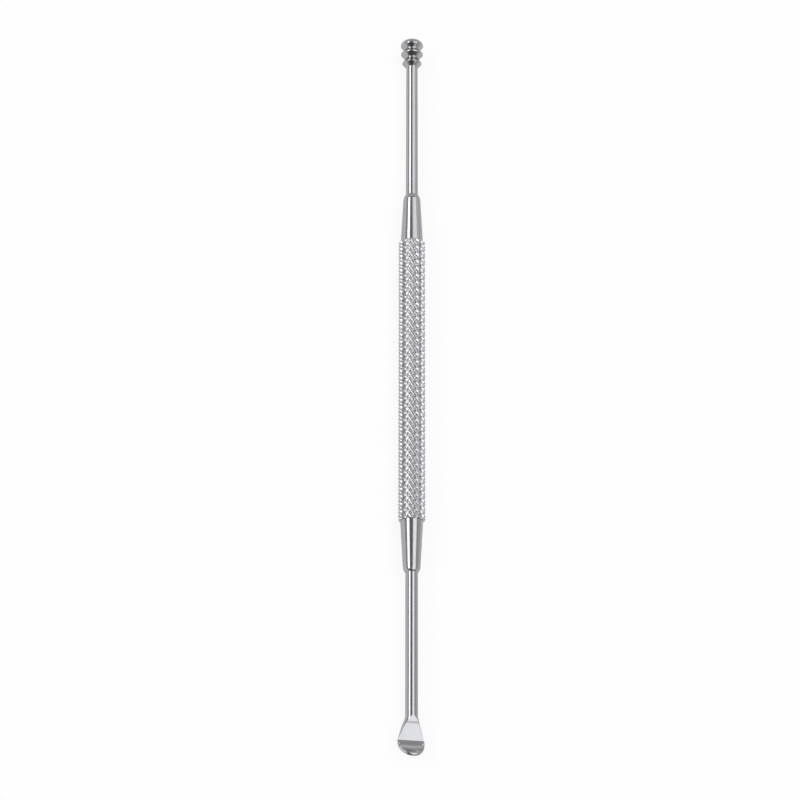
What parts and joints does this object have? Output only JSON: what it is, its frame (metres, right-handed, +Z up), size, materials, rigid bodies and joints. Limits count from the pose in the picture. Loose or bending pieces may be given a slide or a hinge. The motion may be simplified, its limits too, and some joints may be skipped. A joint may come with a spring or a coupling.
{
  "type": "ear pick",
  "caption": "Slender double-ended steel ear pick: knurled grip with smooth tapered ends, a thin rod with a ringed round head, and a thin rod bent into a small flat scoop.",
  "frame": {"origin": "on the surface the tool lies on, below the middle of the grip barrel and of the whole length", "axes": "+Y along the tool toward the ringed head, +Z up, the way the scoop opens, X across the scoop"},
  "size_m": [0.0044, 0.1197, 0.0043],
  "materials": {
    "knurled_steel": "diamond knurl, bright rolled",
    "polished_cone_steel": "mirror polished",
    "polished_tip_steel": "mirror polished"
  },
  "bodies": {
    "root": {"grip_barrel": "knurled_steel", "ring_end_cone": "polished_cone_steel", "scoop_end_cone": "polished_cone_steel", "ring_probe": "polished_tip_steel", "ear_scoop": "polished_tip_steel"}
  },
  "joints": []
}
